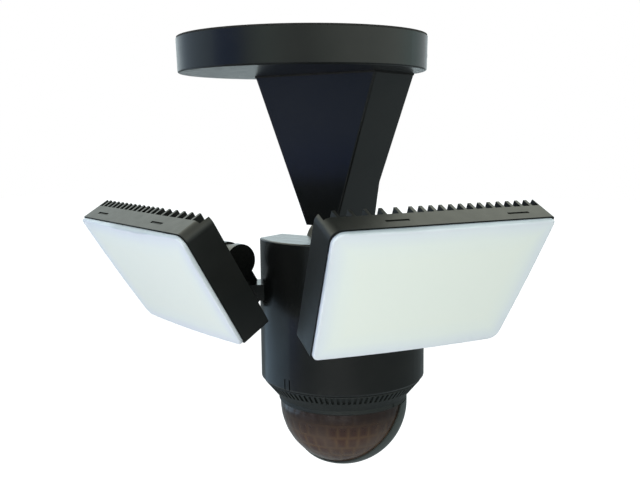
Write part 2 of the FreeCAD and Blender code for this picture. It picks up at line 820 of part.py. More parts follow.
def dome_shell(outer, inner, skirt):
    """A thin hemisphere that opens upward, with a short straight skirt above its equator."""
    half = Part.makeSphere(outer, V(0, 0, dome_z), Z, -90, 0, 360)
    wall = disc(outer, dome_z, dome_z + skirt)
    inside = [Part.makeSphere(inner, V(0, 0, dome_z)), disc(inner, dome_z, dome_z + skirt + 1)]
    return join(half, wall).cut(inside)


def dome_lens():
    lens = dome_shell(dome_radius, dome_radius - dome_wall, ring_foot_z - collar_top - dome_z)
    lens.translate(V(0, hinge_y, 0))
    return lens


def sensor_shroud():
    """Cover over the rear of the dome, ended by a plane that leans forward towards the bottom."""
    inner = dome_radius + shroud_gap
    outer = inner + shroud_wall
    skirt = collar_foot_z - dome_fit - dome_z
    shell = dome_shell(outer, inner, skirt)
    reach = 2 * outer
    edge_top = shroud_offset + shroud_slope * reach
    edge_foot = shroud_offset - shroud_slope * reach
    rear = slab([(edge_top, dome_z + reach), (edge_foot, dome_z - reach), (edge_top + reach, dome_z - reach),
                 (edge_top + reach, dome_z + reach)], -reach, reach)
    shell = shell.common(rear)
    shell.translate(V(0, hinge_y, 0))
    return shell


def sensor_board():
    return body_disc(sensor_board_radius, hub_foot_z - board_thickness, hub_foot_z)


def pir_sensor():
    top = hub_foot_z - board_thickness
    can = body_disc(pir_radius, top - pir_height, top)
    brim = body_disc(pir_radius + pir_brim, top - pir_brim, top)
    x, y = pir_window_width / 2, pir_window_height / 2
    window = box(-x, x, hinge_y - y, hinge_y + y, top - pir_height - 1, top - pir_height + pir_window_depth)
    return join(can, brim).cut(window)


# ---- necks -------------------------------------------------------------------------------------------
def place(shape, swivel, tilt, side):
    """Move a piece drawn about its own tilt axis to its place on the body."""
    moved = shape.copy()
    moved.rotate(V(0, 0, 0), X, tilt)
    moved.rotate(V(0, 0, 0), Z, swivel)
    moved.translate(tilt_centre(swivel, side))
    return moved


def tilt_centre(swivel, side):
    angle = math.radians(swivel)
    return V(side * swivel_x + neck_reach * math.sin(angle), swivel_y - neck_reach * math.cos(angle),
             tilt_axis_z)


def neck(side):
    """Fork, column, flange and stem, drawn with the tilt axis through the origin and the front at -Y."""
    half = knuckle_width / 2
    slot_half = lug_width / 2 + lug_gap
    barrel = rod(knuckle_radius, V(-half, 0, 0), V(half, 0, 0))
    base_z = -neck_rise + flange_thickness
    column = slab([(column_front_y, column_front_z), (column_foot_y, base_z),
                   (neck_reach + column_rear_reach, base_z), (column_rear_y, column_rear_z),
                   (0, column_top_z)], -neck_width / 2, neck_width / 2)
    flange = disc(flange_radius, -neck_rise, base_z, 0, neck_reach)
    stem_foot = -neck_rise - boss_height - swivel_washer_thickness - swivel_nut_height - stem_end
    stem = disc(stem_radius, stem_foot, base_z, 0, neck_reach)
    body = join(barrel, column, flange, stem)
    reach = 2 * knuckle_radius
    slot_round = rod(lug_radius + fork_gap, V(-slot_half, 0, 0), V(slot_half, 0, 0))
    slot_front = box(-slot_half, slot_half, -reach, 0, base_z - 1, reach)
    slot_low = slab([(-1, -lug_radius), (lug_radius, 0), (fork_rear_y, fork_rear_z),
                     (fork_foot_y, base_z + fork_floor), (-1, base_z + fork_floor)], -slot_half, slot_half)
    slot_back = box(-slot_half, slot_half, -1, reach, -2, reach)
    grip = side * half
    bolt_hole = rod(tilt_bolt_radius + tilt_fit, V(grip + side, 0, 0), V(-grip * tilt_hole_share, 0, 0))
    return body.cut([slot_round, slot_front, slot_low, slot_back, bolt_hole])


def tilt_bolt(side):
    seat = side * knuckle_width / 2
    shank = rod(tilt_bolt_radius, V(seat, 0, 0), V(-seat * tilt_shank_share, 0, 0))
    head = rod(tilt_head_radius, V(seat, 0, 0), V(seat + side * tilt_head_height, 0, 0))
    socket = hexagon(tilt_socket_radius, V(seat + side * (tilt_head_height - tilt_socket_depth), 0, 0),
                     V(seat + side * (tilt_head_height + 1), 0, 0))
    return join(shank, head).cut(socket)


def swivel_washer(side):
    z = boss_foot_z - swivel_washer_thickness
    x, y = side * swivel_x, swivel_y
    return tube(swivel_washer_radius, stem_radius + shank_gap, z, boss_foot_z, x, y)


def swivel_nut(side):
    x, y = side * swivel_x, swivel_y
    top = boss_foot_z - swivel_washer_thickness
    nut = hexagon(swivel_nut_radius, V(x, y, top - swivel_nut_height), V(x, y, top))
    return nut.cut(disc(stem_radius, top - swivel_nut_height - 1, top + 1, x, y))


# ---- lamp heads --------------------------------------------------------------------------------------
head_back_y = -head_back_gap
fin_root_y = head_back_y - fin_depth
head_front_y = fin_root_y - head_solid_depth
pocket_floor_y = head_front_y + pocket_depth
lens_back_y = head_front_y - lens_gasket_thickness


def side_x(side, end, z, inset=0.0):
    """X of the head's inner (-1) or outer (+1) side edge at a height, moved inward square to the edge."""
    lean = head_inner_lean if end < 0 else head_outer_lean
    down = (head_rise + head_height / 2 - z) / head_height
    return side * end * (head_width / 2 - lean * down - inset * math.hypot(1, lean / head_height))


def head_outline(side, inset=0.0, stretch=0.0):
    """The head's four corners as (x, z): top and bottom level, both sides leaning inward as they go down."""
    top = head_rise + head_height / 2 - inset + stretch
    foot = head_rise - head_height / 2 + inset - stretch
    return [(side_x(side, end, z, inset), z) for end, z in ((-1, top), (1, top), (1, foot), (-1, foot))]


def head_prism(side, inset, y0, y1, stretch=0.0):
    corners = [V(x, y0, z) for x, z in head_outline(side, inset, stretch)]
    return Part.Face(Part.makePolygon(corners + corners[:1])).extrude(V(0, y1 - y0, 0))


def rounded_block(side, inset, shrink, y0, y1):
    """The head's outline, moved inward, each corner rounded by its own radius less shrink, from y0 to y1."""
    block = head_prism(side, inset, y0, y1)
    radii = (inner_top_corner, outer_top_corner, outer_foot_corner, inner_foot_corner)
    for (x, z), radius in zip(head_outline(side, inset), radii):
        edges = [e for e in block.Edges if e.BoundBox.YLength > abs(y1 - y0) - 0.01
                 and math.hypot(e.CenterOfMass.x - x, e.CenterOfMass.z - z) < 0.01]
        block = block.makeFillet(max(radius - shrink, smallest_corner), edges)
    return block


def fin_gaps(side):
    """Gaps between the heat sink's plates: wide ones near the neck, fine ones outward, end walls kept."""
    pitches = [wide_to_fine_pitch] * wide_fin_count + [1.0] * fine_fin_count
    unit = (head_width - fin_thickness) / sum(pitches)
    low, high = head_rise - head_height, head_rise + head_height
    position = -head_width / 2 + fin_thickness / 2
    gaps = []
    for pitch in pitches:
        start = position + fin_thickness / 2
        position += pitch * unit
        end = position - fin_thickness / 2
        x0, x1 = sorted((side * start, side * end))
        gaps.append(box(x0, x1, fin_root_y, head_back_y + 1, low, high))
    between_walls = head_prism(side, fin_thickness, fin_root_y - 1, head_back_y + 2, 2 * fin_thickness)
    return group(gaps).common(between_walls)


def latch_places(side, way):
    """X and Z of the two latches on the top (+1) or bottom (-1) edge of the head."""
    z = head_rise + way * head_height / 2
    inner = side_x(side, -1, z) + side * latch_inner
    outer = side_x(side, 1, z) - side * latch_outer
    return [(inner, z), (outer, z)]


def head_housing(side):
    block = rounded_block(side, 0.0, 0.0, head_front_y, head_back_y).cut(fin_gaps(side))
    lug_x = -side * head_offset
    half = lug_width / 2
    lug = slab([(fin_root_y - 1, -lug_front_drop), (head_back_y, -lug_back_drop), (0, -lug_radius),
                (0, lug_radius), (lug_top_y, lug_top_z), (fin_root_y - 1, lug_root_rise)],
               lug_x - half, lug_x + half)
    eye = rod(lug_radius, V(lug_x - half, 0, 0), V(lug_x + half, 0, 0))
    block = join(block, lug, eye)
    pocket = rounded_block(side, pocket_wall, pocket_wall, head_front_y - 1, pocket_floor_y)
    cuts = [pocket, rod(tilt_bolt_radius + tilt_fit, V(lug_x - half - 1, 0, 0), V(lug_x + half + 1, 0, 0))]
    slot_y = head_front_y + latch_depth
    for way in (-1, 1):
        for x, z in latch_places(side, way):
            cuts.append(box(x - latch_width / 2, x + latch_width / 2, slot_y, slot_y + latch_height,
                            z - pocket_wall - 1, z + pocket_wall + 1))
    housing = block.cut(cuts)
    housing.translate(V(-lug_x, 0, 0))
    return housing


def head_gasket(side):
    outer = rounded_block(side, lens_gasket_inset, lens_gasket_inset, lens_back_y, head_front_y)
    inner = rounded_block(side, pocket_wall, pocket_wall, lens_back_y - 1, head_front_y + 1)
    gasket = outer.cut(inner)
    gasket.translate(V(side * head_offset, 0, 0))
    return gasket


def lens_latches(side):
    """Bars at the foot of the lens's skirt, each with a tongue that snaps into a slot of the housing."""
    side_cut = pocket_wall + lens_fit
    slot_y = head_front_y + latch_depth
    latches = []
    for way in (-1, 1):
        for x, z in latch_places(side, way):
            wall = z - way * side_cut
            z0, z1 = sorted((wall, wall - way * lens_skirt_wall))
            latches.append(box(x - latch_width / 2, x + latch_width / 2, head_front_y + lens_skirt - 1,
                               slot_y + latch_height - lens_fit, z0, z1))
            z0, z1 = sorted((wall - way * lens_skirt_wall / 2, z - way * latch_tip))
            half = latch_width / 2 - latch_fit
            latches.append(box(x - half, x + half, slot_y + lens_fit, slot_y + latch_height - lens_fit,
                               z0, z1))
    return latches


def head_lens(side):
    front_y = lens_back_y - lens_edge - lens_crown
    outer = rounded_block(side, lens_inset, -lens_corner_extra, front_y - 2, lens_back_y)
    crown = Part.makeSphere(lens_sphere_radius, V(0, front_y + lens_sphere_radius, head_rise))
    outer = outer.common(crown)
    rim = [e for e in outer.Edges if e.BoundBox.YMax < lens_back_y - lens_gasket_thickness]
    outer = outer.makeFillet(lens_round, rim)
    side_cut = pocket_wall + lens_fit
    skirt = rounded_block(side, side_cut, side_cut, lens_back_y - lens_gasket_thickness,
                          head_front_y + lens_skirt)
    hollow = rounded_block(side, side_cut + lens_skirt_wall, side_cut + lens_skirt_wall,
                           lens_back_y - lens_edge + lens_wall / 2, head_front_y + lens_skirt + 1)
    lens = join(outer, skirt).cut(hollow)
    lens = join(lens, *lens_latches(side))
    lens.translate(V(side * head_offset, 0, 0))
    return lens


def led_board_ends(side):
    """X of the board's two ends: it clears the pocket's walls at its lower corners."""
    low = head_rise - led_board_height / 2
    inset = pocket_wall + led_board_gap
    return sorted((side_x(side, -1, low, inset), side_x(side, 1, low, inset)))


def led_board(side):
    y1 = pocket_floor_y
    x0, x1 = led_board_ends(side)
    board = box(x0, x1, y1 - led_board_thickness, y1, head_rise - led_board_height / 2,
                head_rise + led_board_height / 2)
    board.translate(V(side * head_offset, 0, 0))
    return board


def led_chips(side):
    y1 = pocket_floor_y - led_board_thickness
    x0, x1 = led_board_ends(side)
    chips = []
    for i in range(led_columns):
        for j in range(led_rows):
            x = x0 + (i + 0.5) * (x1 - x0) / led_columns
            z = head_rise + (j + 0.5 - led_rows / 2) * led_board_height / led_rows
            half = led_size / 2
            chip = box(x - half, x + half, y1 - led_thickness, y1, z - half, z + half)
            chip.translate(V(side * head_offset, 0, 0))
            chips.append(chip)
    return group(chips)


def lamp_head(name, side, swivel, tilt):
    save(name + "_neck", place(neck(side), swivel, 0, side))
    save(name + "_tilt_bolt", place(tilt_bolt(side), swivel, 0, side))
    save(name + "_swivel_washer", swivel_washer(side))
    save(name + "_swivel_nut", swivel_nut(side))
    for piece in (head_housing, head_gasket, head_lens, led_board, led_chips):
        save(name + "_" + piece.__name__, place(piece(side), swivel, tilt, side))


def main():
    os.makedirs("parts", exist_ok=True)
    for piece in (canopy_cover, canopy_gasket, mounting_plate, canopy_screws, ground_screw, arm_seal,
                  arm_shell, arm_screws, hinge_bolt, hinge_nut, hinge_washers, body_shell, body_floor,
                  hub_clip, body_seal, floor_screws, driver_board, driver_parts, sensor_ring,
                  sensor_collar, dome_lens, sensor_shroud, sensor_board, pir_sensor):
        save(piece.__name__, piece())
    lamp_head("left", -1, left_swivel_angle, left_tilt_angle)
    lamp_head("right", 1, right_swivel_angle, right_tilt_angle)


main()
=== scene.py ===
"""Looks of the motion sensor security light: finishes, opal lenses, faceted dome, studio.

The scene is in metres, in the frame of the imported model: +Z up into the ceiling, -Y the front of the sensor
body. The lenses and the dome are worked out in millimetres, as in the part's source, and scaled at the end.
"""
import json
import math

import bpy
import numpy as np
from mathutils import Matrix, Vector


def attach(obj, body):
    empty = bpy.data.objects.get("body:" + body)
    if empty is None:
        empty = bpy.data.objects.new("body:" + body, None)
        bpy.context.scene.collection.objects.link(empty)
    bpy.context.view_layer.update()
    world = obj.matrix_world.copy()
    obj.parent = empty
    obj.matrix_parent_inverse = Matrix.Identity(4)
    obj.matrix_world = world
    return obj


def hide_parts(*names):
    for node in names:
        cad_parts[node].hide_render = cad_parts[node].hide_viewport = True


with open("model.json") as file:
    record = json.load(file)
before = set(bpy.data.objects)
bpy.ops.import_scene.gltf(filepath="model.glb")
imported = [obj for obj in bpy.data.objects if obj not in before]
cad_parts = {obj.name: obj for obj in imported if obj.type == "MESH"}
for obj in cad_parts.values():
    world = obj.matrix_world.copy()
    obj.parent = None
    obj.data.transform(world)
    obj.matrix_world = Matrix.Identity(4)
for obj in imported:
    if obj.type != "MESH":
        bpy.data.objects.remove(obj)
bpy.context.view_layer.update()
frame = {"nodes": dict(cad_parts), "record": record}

nodes = frame["nodes"]
MM = 0.001


# ---- how the two lamp heads stand, in millimetres and degrees, as in the part's source ----
HEADS = {
    "left": {"side": -1, "swivel": -17.4, "tilt": 30.8},
    "right": {"side": 1, "swivel": 58.6, "tilt": 23.9},
}
# Swivel stems, out to each side of the canopy's axis and a little in front of it.
SWIVEL_X, SWIVEL_Y = 39.1, -3.95
# A tilt bolt lies this far in front of its stem, at this height.
NECK_REACH, TILT_Z = 8.0, -118.3
# Outline of a head. The lean is how far an edge comes in from its top to its foot.
HEAD_WIDTH, HEAD_HEIGHT = 117.4, 68.1
INNER_LEAN, OUTER_LEAN = 1.5, 14.6
# Middle of the outline from the tilt bolt: outward, up, and forward to the housing's front.
HEAD_OFFSET, HEAD_RISE, HEAD_FRONT_Y = 13.1, 13.6, -35.9


def head_matrix(side, swivel, tilt):
    """Head frame in millimetres to part frame in metres: tilt about X, swivel about Z, then out to the tilt
    bolt, which the neck holds in front of the stem."""
    turn = math.radians(swivel)
    place = Matrix.Translation((
        (side * SWIVEL_X + NECK_REACH * math.sin(turn)) * MM,
        (SWIVEL_Y - NECK_REACH * math.cos(turn)) * MM,
        TILT_Z * MM,
    ))
    stand = Matrix.Rotation(turn, 4, "Z") @ Matrix.Rotation(math.radians(tilt), 4, "X")
    return place @ stand @ Matrix.Scale(MM, 4)


def side_edge(end, z):
    """X of the head's inner (-1) or outer (+1) edge at a height: half the width less the share of the lean
    between the top and that height."""
    lean = INNER_LEAN if end < 0 else OUTER_LEAN
    return end * (HEAD_WIDTH / 2 - lean * (HEAD_HEIGHT / 2 - z) / HEAD_HEIGHT)


# ---- meshes from numpy grids ----
def mesh_from_grid(name, points, values=None):
    """Quads over a grid points[row, column, xyz] whose last column joins its first. Fans of triangles from
    the mean of the first row and the mean of the last close both ends. Values are numbers per point that the
    finishes read, and the two middles take the last of them."""
    rows, columns = points.shape[:2]
    left = np.arange(rows * columns).reshape(rows, columns)
    right = np.roll(left, -1, axis=1)
    quads = np.stack([left[:-1], right[:-1], right[1:], left[1:]], axis=-1).reshape(-1, 4)
    first_fan = np.stack([right[0], left[0], np.full(columns, left.size)], axis=-1)
    last_fan = np.stack([left[-1], right[-1], np.full(columns, left.size + 1)], axis=-1)
    vertices = np.vstack([points.reshape(-1, 3), points[0].mean(axis=0), points[-1].mean(axis=0)])
    mesh = bpy.data.meshes.new(name)
    mesh.from_pydata(vertices.tolist(), [], quads.tolist() + first_fan.tolist() + last_fan.tolist())
    mesh.polygons.foreach_set("use_smooth", np.ones(len(mesh.polygons), dtype=bool))
    for key, data in (values or {}).items():
        flat = data.reshape(-1)
        attribute = mesh.attributes.new(key, "FLOAT", "POINT")
        attribute.data.foreach_set("value", np.append(flat, [flat[-1], flat[-1]]).astype(np.float32))
    mesh.update()
    return mesh


def rounded_polygon(corners, inset, radii, count):
    """Points and outward directions round a polygon moved inward by inset, its corners rounded, spaced evenly
    along the way round. A corner at which the outline turns by an angle takes radius*tan(angle/2) off both of
    its edges, and its arc is radius*angle long."""
    corners, radius = np.array(corners), np.array(radii)
    following = np.roll(corners, -1, axis=0)
    along = (following - corners) / np.linalg.norm(following - corners, axis=1)[:, None]
    out = np.stack([along[:, 1], -along[:, 0]], axis=1)
    before, out_before = np.roll(along, 1, axis=0), np.roll(out, 1, axis=0)
    turn = np.arccos(np.clip((along * before).sum(axis=1), -1, 1))
    corners = corners - inset * (out + out_before) / (1 + (out * out_before).sum(axis=1))[:, None]
    following = np.roll(corners, -1, axis=0)
    cut = radius * np.tan(turn / 2)
    run = np.linalg.norm(following - corners, axis=1) - cut - np.roll(cut, -1)
    arc = radius * turn
    way = (np.arange(count) + 0.5) / count * (run.sum() + arc.sum())
    points, normals = np.zeros((count, 2)), np.zeros((count, 2))
    start = 0.0
    for corner in range(len(corners)):
        begin = corners[corner] + cut[corner] * along[corner]
        on_arc = (way >= start) & (way < start + arc[corner])
        angle = math.atan2(*out_before[corner, ::-1]) + (way[on_arc] - start) / radius[corner]
        normals[on_arc] = np.stack([np.cos(angle), np.sin(angle)], axis=1)
        points[on_arc] = begin - radius[corner] * out[corner] + radius[corner] * normals[on_arc]
        start += arc[corner]
        on_run = (way >= start) & (way < start + run[corner])
        points[on_run] = begin + (way[on_run] - start)[:, None] * along[corner]
        normals[on_run] = out[corner]
        start += run[corner]
    return points[:, 0], points[:, 1], normals[:, 0], normals[:, 1]


def add_piece(name, mesh, material, body, replaced=()):
    """Puts a mesh with its finish into the scene, on the body it moves with, for the nodes it replaces."""
    piece = bpy.data.objects.new(name, mesh)
    bpy.context.scene.collection.objects.link(piece)
    mesh.materials.append(material)
    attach(piece, body)
    if replaced:
        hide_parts(*replaced)


# ---- node trees ----
# Noise mostly lies between these two values, so a mottled finish goes from one end to the other across them.
NOISE_LOW, NOISE_HIGH = 0.3, 0.7


class Nodes:
    """A node tree with a few short ways to add nodes."""

    def __init__(self, tree):
        self.tree = tree

    def add(self, kind):
        return self.tree.nodes.new("ShaderNode" + kind)

    def link(self, source, socket):
        self.tree.links.new(source, socket)

    def feed(self, socket, value):
        """Sets a number or a colour on the socket and links anything else to it."""
        if isinstance(value, (int, float)):
            socket.default_value = value
        elif isinstance(value, tuple):
            socket.default_value = (*value, 1.0)
        else:
            self.link(value, socket)

    def split(self, vector):
        node = self.add("SeparateXYZ")
        self.link(vector, node.inputs["Vector"])
        return node.outputs

    def ramp(self, value, stops, interpolation="LINEAR"):
        """Colour that passes the stops, each a position from 0 to 1 and a colour."""
        node = self.add("ValToRGB")
        node.color_ramp.interpolation = interpolation
        elements = node.color_ramp.elements
        while len(elements) < len(stops):
            elements.new(0.5)
        for element, (position, colour) in zip(elements, stops):
            element.position = position
            element.color = (*colour, 1.0)
        self.link(value, node.inputs["Fac"])
        return node.outputs["Color"]

    def scaled(self, value, low, high, from_low, from_high, interpolation="LINEAR"):
        """Low to high as the value goes from from_low to from_high, and no further."""
        node = self.add("MapRange")
        node.interpolation_type = interpolation
        node.inputs["From Min"].default_value = from_low
        node.inputs["From Max"].default_value = from_high
        node.inputs["To Min"].default_value = low
        node.inputs["To Max"].default_value = high
        self.link(value, node.inputs["Value"])
        return node.outputs["Result"]

    def mix(self, factor, a, b):
        """Colour a at factor 0, colour b at factor 1."""
        node = self.add("Mix")
        node.data_type = "RGBA"
        self.feed(node.inputs["Factor"], factor)
        self.feed(node.inputs["A"], a)
        self.feed(node.inputs["B"], b)
        return node.outputs["Result"]

    def math(self, operation, a, b):
        node = self.add("Math")
        node.operation = operation
        self.feed(node.inputs[0], a)
        self.feed(node.inputs[1], b)
        return node.outputs["Value"]


class Finish(Nodes):
    """A material whose patterns lie in Object coordinates, in metres."""

    def __init__(self, name):
        self.material = bpy.data.materials.new(name)
        self.material.use_nodes = True
        super().__init__(self.material.node_tree)
        self.shader = self.tree.nodes["Principled BSDF"]
        self.coords = self.add("TexCoord").outputs["Object"]

    def noise(self, scale, detail):
        node = self.add("TexNoise")
        node.inputs["Scale"].default_value = scale
        node.inputs["Detail"].default_value = detail
        node.inputs["Roughness"].default_value = 0.55
        self.link(self.coords, node.inputs["Vector"])
        return node.outputs["Fac"]

    def wander(self, scale, detail, low, high):
        """A number that wanders between low and high."""
        return self.scaled(self.noise(scale, detail), low, high, NOISE_LOW, NOISE_HIGH)

    def attribute(self, name):
        """The number that the mesh holds for each point."""
        node = self.add("Attribute")
        node.attribute_name = name
        return node.outputs["Fac"]

    def colour(self, source):
        self.link(source, self.shader.inputs["Base Color"])

    def mottle(self, scale, detail, dark, light):
        """Colour that wanders between two tones."""
        self.colour(self.ramp(self.noise(scale, detail), [(NOISE_LOW, dark), (NOISE_HIGH, light)]))

    def gloss(self, scale, detail, smooth, rough):
        """Roughness that wanders between two values."""
        self.link(self.wander(scale, detail, smooth, rough), self.shader.inputs["Roughness"])

    def bump(self, height, strength, depth):
        """Relief of a depth in metres, softened to a strength from 0 to 1."""
        node = self.add("Bump")
        node.inputs["Strength"].default_value = strength
        node.inputs["Distance"].default_value = depth
        self.link(height, node.inputs["Height"])
        self.link(node.outputs["Normal"], self.shader.inputs["Normal"])

    def grain(self, scale, strength, depth, detail=2.0):
        """Fine relief of noise."""
        self.bump(self.noise(scale, detail), strength, depth)

    def set(self, **values):
        """Sets numbers that are the same all over the surface; an underscore stands for a space."""
        for key, value in values.items():
            self.shader.inputs[key.replace("_", " ")].default_value = value
        return self


def srgb(red, green, blue):
    """Screen values 0 to 255 to linear colour, by the sRGB curve."""
    screen = np.array([red, green, blue]) / 255.0
    return tuple(np.where(screen <= 0.04045, screen / 12.92, ((screen + 0.055) / 1.055) ** 2.4).tolist())


# ---- finishes ----
def powder_coat(name, smooth, rough):
    """Dark bronze powder coat: tiny orange peel, faint cloudiness, satin gloss between two roughnesses."""
    finish = Finish(name)
    finish.mottle(28.0, 3.0, srgb(18, 20, 20), srgb(25, 26, 25))
    finish.gloss(160.0, 5.0, smooth, rough)
    finish.grain(1500.0, strength=0.22, depth=0.00012)
    return finish.set(IOR=1.47).material


def dark_plastic():
    """Moulded dark plastic: fine spark-eroded grain."""
    finish = Finish("dark_bronze_plastic")
    finish.mottle(35.0, 3.0, srgb(26, 30, 30), srgb(34, 37, 36))
    finish.gloss(300.0, 4.0, 0.42, 0.55)
    finish.grain(2600.0, strength=0.2, depth=0.0001)
    return finish.set(IOR=1.46).material


def shroud_painted_sheen():
    """The moulded cover over the back of the dome: glossier than the ring, and painted paler as a sheen of
    the light it catches.
    """
    finish = Finish("shroud_painted_sheen")
    # Painted sheen: tones paler than the ring's dark plastic.
    finish.mottle(35.0, 3.0, srgb(52, 58, 56), srgb(60, 65, 63))
    finish.gloss(300.0, 4.0, 0.28, 0.36)
    finish.grain(1800.0, strength=0.08, depth=0.0001)
    return finish.set(IOR=1.5).material


def opal_plastic():
    """Opal cover: warm greenish middle with a painted cool shade that grows darker towards the edge and is
    darkest over the rolled edge, faint flow marks. The mesh holds the share of that painted shade at each
    point, 0 in the middle of the cover and 1 at its edge."""
    finish = Finish("opal_cover")
    edge_shade = finish.math("ADD", finish.attribute("edge_shade"), finish.wander(14.0, 2.0, -0.10, 0.10))
    # Painted shade: cooler towards the lens's edge and darkest over its rolled edge.
    finish.colour(finish.ramp(edge_shade, [
        (0.0, srgb(228, 235, 229)),
        (0.45, srgb(226, 234, 231)),
        (0.78, srgb(220, 228, 233)),
        (0.94, srgb(216, 223, 231)),
        (1.0, srgb(192, 200, 207)),
    ]))
    finish.gloss(220.0, 4.0, 0.42, 0.52)
    finish.grain(2200.0, strength=0.12, depth=0.0001)
    return finish.set(IOR=1.45).material


# Heights in metres between which the dome goes from the painted shade under the sensor ring at its top to its
# full colour.
RING_SHADE_Z, RING_SHADE_END_Z = -0.205, -0.218


def smoked_lens():
    """Smoked brown sensor lens: darker cell middles, paler amber borders between them, clear gloss, and
    painted shade that turns it near black towards its top under the sensor ring. The mesh holds "cell", 0 on
    a border and 1 in a cell's middle."""
    finish = Finish("smoked_lens")
    cell = finish.attribute("cell")
    uneven = finish.scaled(finish.noise(60.0, 2.0), 0.0, 1.0, 0.35, 0.65)
    middle = finish.mix(uneven, srgb(62, 42, 35), srgb(72, 58, 51))
    border = finish.mix(uneven, srgb(84, 64, 46), srgb(80, 65, 54))
    # Painted shade under the sensor ring: the dome darkens to near black towards its top.
    depth = finish.scaled(finish.split(finish.coords)["Z"], 0.1, 1.0, RING_SHADE_Z, RING_SHADE_END_Z)
    finish.colour(finish.mix(depth, srgb(26, 15, 12), finish.mix(cell, border, middle)))
    finish.gloss(400.0, 3.0, 0.14, 0.22)
    finish.bump(cell, strength=0.25, depth=0.0002)
    return finish.set(IOR=1.5, Coat_Weight=0.3, Coat_Roughness=0.1).material


def zinc_plate():
    """Bright zinc on steel: brushed grain and passivated tint."""
    finish = Finish("zinc_plated_steel")
    finish.mottle(120.0, 4.0, srgb(176, 178, 180), srgb(206, 206, 202))
    finish.gloss(900.0, 3.0, 0.28, 0.44)
    finish.grain(2400.0, strength=0.15, depth=0.00008)
    return finish.set(Metallic=1.0).material


def blackened_steel():
    """Black oxide fasteners."""
    finish = Finish("black_oxide_steel")
    finish.mottle(300.0, 4.0, srgb(38, 39, 41), srgb(60, 60, 62))
    finish.gloss(900.0, 3.0, 0.3, 0.45)
    finish.grain(2400.0, strength=0.15, depth=0.00008)
    return finish.set(Metallic=0.7).material


def green_zinc():
    """Green dyed zinc of the earth screw."""
    finish = Finish("green_zinc")
    finish.mottle(300.0, 4.0, srgb(26, 96, 48), srgb(44, 130, 66))
    finish.gloss(900.0, 3.0, 0.3, 0.42)
    return finish.set(Metallic=0.8).material


def closed_foam():
    """Black closed-cell foam."""
    finish = Finish("black_foam")
    finish.mottle(900.0, 4.0, srgb(20, 20, 20), srgb(38, 38, 37))
    finish.grain(3000.0, strength=0.6, depth=0.0002, detail=3.0)
    return finish.set(Roughness=0.85).material


def circuit_board(name, mask, trace):
    """Solder mask with traces seen as slightly raised lines of another tone."""
    finish = Finish(name)
    brick = finish.add("TexBrick")
    finish.link(finish.coords, brick.inputs["Vector"])
    brick.inputs["Scale"].default_value = 120.0
    brick.inputs["Mortar Size"].default_value = 0.03
    for socket, tone in (("Color1", mask), ("Color2", mask), ("Mortar", trace)):
        finish.feed(brick.inputs[socket], tone)
    finish.colour(finish.mix(finish.wander(90.0, 3.0, 0.0, 0.4), brick.outputs["Color"], trace))
    finish.bump(brick.outputs["Fac"], strength=0.3, depth=0.0001)
    return finish.set(Roughness=0.35).material


def component_mix():
    """Coil, capacitors, relay and terminal: each block of space takes one of a few component colours."""
    finish = Finish("board_components")
    cells = finish.add("TexVoronoi")
    cells.inputs["Scale"].default_value = 42.0
    finish.link(finish.coords, cells.inputs["Vector"])
    pick = finish.add("SeparateColor")
    finish.link(cells.outputs["Color"], pick.inputs["Color"])
    finish.colour(finish.ramp(pick.outputs["Red"], [
        (0.0, srgb(28, 28, 32)),
        (0.35, srgb(36, 52, 96)),
        (0.6, srgb(150, 92, 44)),
        (0.85, srgb(196, 190, 150)),
    ], "CONSTANT"))
    finish.gloss(300.0, 3.0, 0.3, 0.5)
    return finish.material


def led_phosphor():
    """Yellow phosphor of the light chips, speckled."""
    finish = Finish("led_phosphor")
    finish.mottle(1800.0, 4.0, srgb(226, 186, 60), srgb(240, 214, 110))
    finish.grain(2500.0, strength=0.2, depth=0.0001)
    return finish.set(Roughness=0.4).material


FINISHES = {
    "dark_paint": powder_coat("dark_bronze_coat", 0.21, 0.27),
    "dark_plastic": dark_plastic(),
    "lens_white": opal_plastic(),
    "dome_brown": smoked_lens(),
    "foam": closed_foam(),
    "zinc": zinc_plate(),
    "dark_screw": blackened_steel(),
    "green_screw": green_zinc(),
    "board": circuit_board("green_board", srgb(22, 74, 40), srgb(48, 112, 62)),
    "board_white": circuit_board("white_board", srgb(226, 226, 220), srgb(206, 206, 198)),
    "electronics": component_mix(),
    "led": led_phosphor(),
}
HEAD_COAT = powder_coat("head_coat", 0.34, 0.40)
# Nodes whose finish differs from that of their slot; the shroud's is painted paler for the light it catches.
OWN_FINISH = {
    "sensor_shroud": shroud_painted_sheen(),
    "left_head_housing": HEAD_COAT,
    "right_head_housing": HEAD_COAT,
}
SLOT_OF = {subpart["node"]: subpart["material_slot"] for subpart in frame["record"]["subparts"]}
for node_name, node in nodes.items():
    node.data.materials.clear()
    node.data.materials.append(OWN_FINISH.get(node_name, FINISHES[SLOT_OF[node_name]]))


# ---- opal lenses, in millimetres ----
# How far the lens stays inside the head's outline, and the gasket between it and the housing.
LENS_INSET, LENS_GASKET = 0.5, 0.5
LENS_BACK_Y = HEAD_FRONT_Y - LENS_GASKET
# Thickness near the edge, how much more the crown adds, the crown's radius and that of the rolled edge.
LENS_EDGE, LENS_CROWN, LENS_SPHERE, LENS_ROUND = 2.2, 1.7, 1100.0, 0.8
# Corner radii: foot inner, foot outer, top outer, top inner.
LENS_CORNERS = (3.0, 5.8, 2.0, 5.8)
LENS_COLUMNS, ROLL_ROWS = 400, 8
# Outlines on the face, as shares of the full one and closer together near its edge, and those on the back.
FACE_SHARES = np.concatenate([np.linspace(0.04, 0.92, 34), np.linspace(0.935, 1.0, 8)])[:, None]
BACK_SHARES = np.array([0.97, 0.9, 0.5])[:, None]
# Width of the band of painted cool shade along the lens's edge.
EDGE_SHADE_BAND = 16.0


